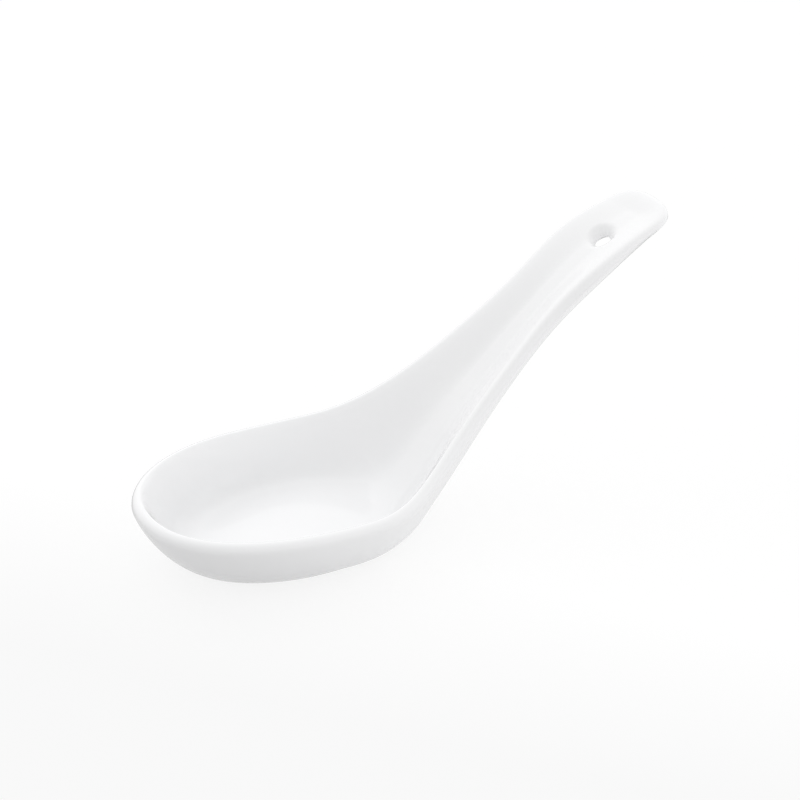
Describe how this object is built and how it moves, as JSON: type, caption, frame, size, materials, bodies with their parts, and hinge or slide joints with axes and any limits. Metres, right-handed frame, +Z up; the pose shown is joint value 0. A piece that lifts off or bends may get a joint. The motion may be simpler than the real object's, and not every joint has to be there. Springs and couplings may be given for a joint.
{
  "type": "chinese soup spoon",
  "caption": "White glazed porcelain soup spoon: deep egg-shaped bowl on a flat foot, trough-shaped handle with a pierced hanging hole.",
  "frame": {"origin": "centre of the flat foot that the spoon stands on", "axes": "+X from the bowl's tip towards the end of the handle, +Z up, +Y to the left of someone looking from the bowl to the handle"},
  "size_m": [0.135, 0.0516, 0.0605],
  "materials": {
    "bare_porcelain": "matt, fine-grained, wiped bare of glaze",
    "white_glaze": "glossy, smooth"
  },
  "bodies": {
    "root": {"porcelain_body": "bare_porcelain", "glaze_coat": "white_glaze"}
  },
  "joints": []
}
